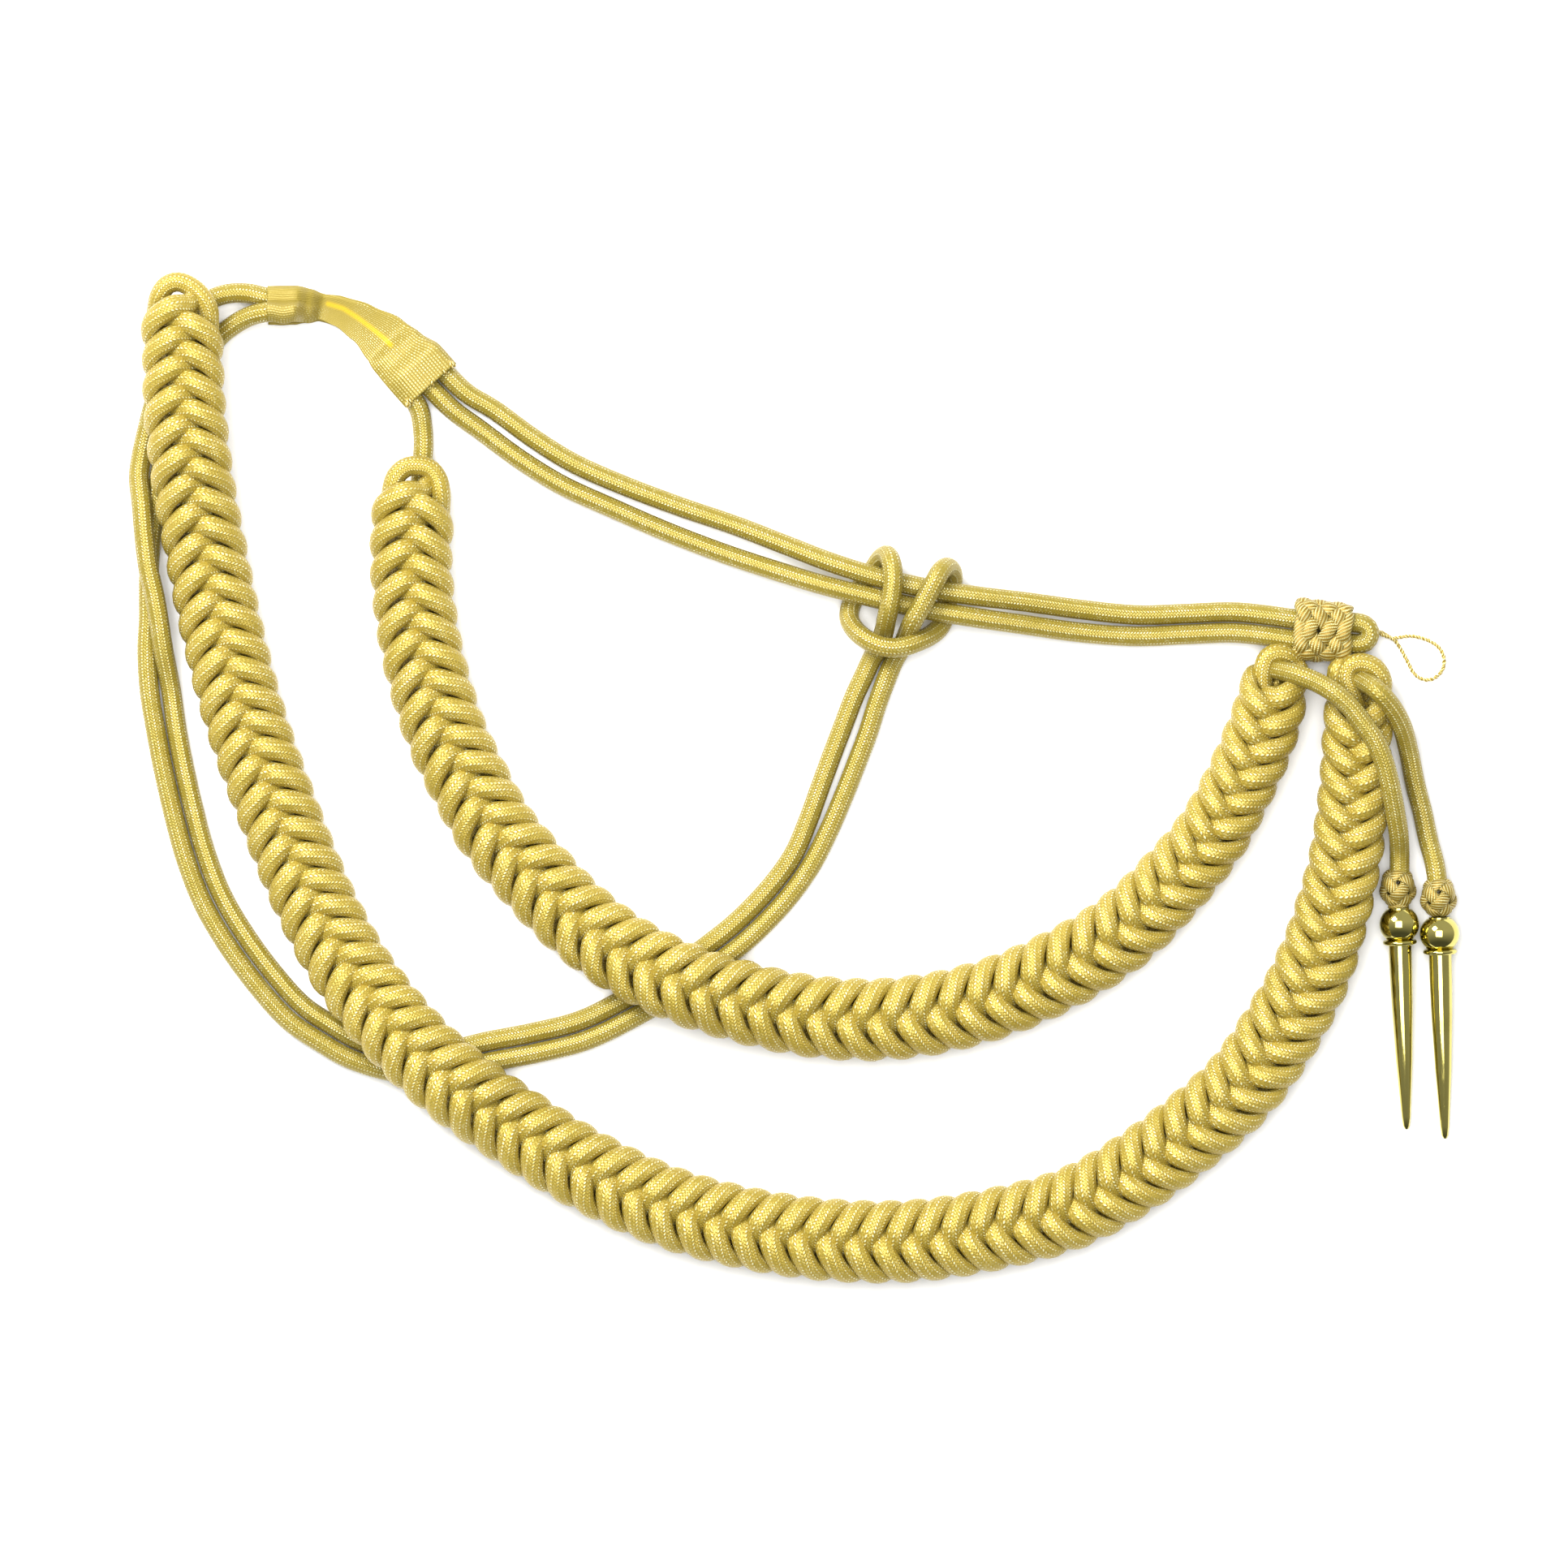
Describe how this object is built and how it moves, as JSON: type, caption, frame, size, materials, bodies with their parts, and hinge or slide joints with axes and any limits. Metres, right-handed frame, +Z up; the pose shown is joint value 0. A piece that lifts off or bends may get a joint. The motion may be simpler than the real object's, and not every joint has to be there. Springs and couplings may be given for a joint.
{
  "type": "aiguillette",
  "caption": "Gold shoulder aiguillette laid out flat: plaited cord chains and doubled cords hanging from a folded lace tape, with a slide knot, a button loop and tapered metal needles.",
  "frame": {"origin": "middle of the underside of the folded shoulder tape, which lies on the surface the cords are laid out on", "axes": "+X from the tape towards the button loop, +Y towards the wearer's neck side of the layout, +Z up from the surface, towards the side that shows when worn"},
  "size_m": [0.4255, 0.3233, 0.025],
  "materials": {
    "gold_cord": "braided metallic gold thread",
    "gold_rope": "twisted metallic gold cord",
    "gold_lace": "ribbed metallic gold lace",
    "needle_metal": "polished gold plate"
  },
  "bodies": {
    "root": {"outer_plait": "gold_cord", "inner_plait": "gold_cord", "front_cord": "gold_cord", "arm_cord_first_strand": "gold_cord", "arm_cord_second_strand": "gold_cord", "arm_cord_hitch": "gold_cord", "hanger_cord": "gold_cord", "needle_cord_left": "gold_cord", "needle_cord_right": "gold_cord", "button_loop": "gold_rope", "slide_knot": "gold_rope", "needle_knot_left": "gold_rope", "needle_knot_right": "gold_rope", "shoulder_tape": "gold_lace", "needle_left": "needle_metal", "needle_right": "needle_metal"}
  },
  "joints": []
}
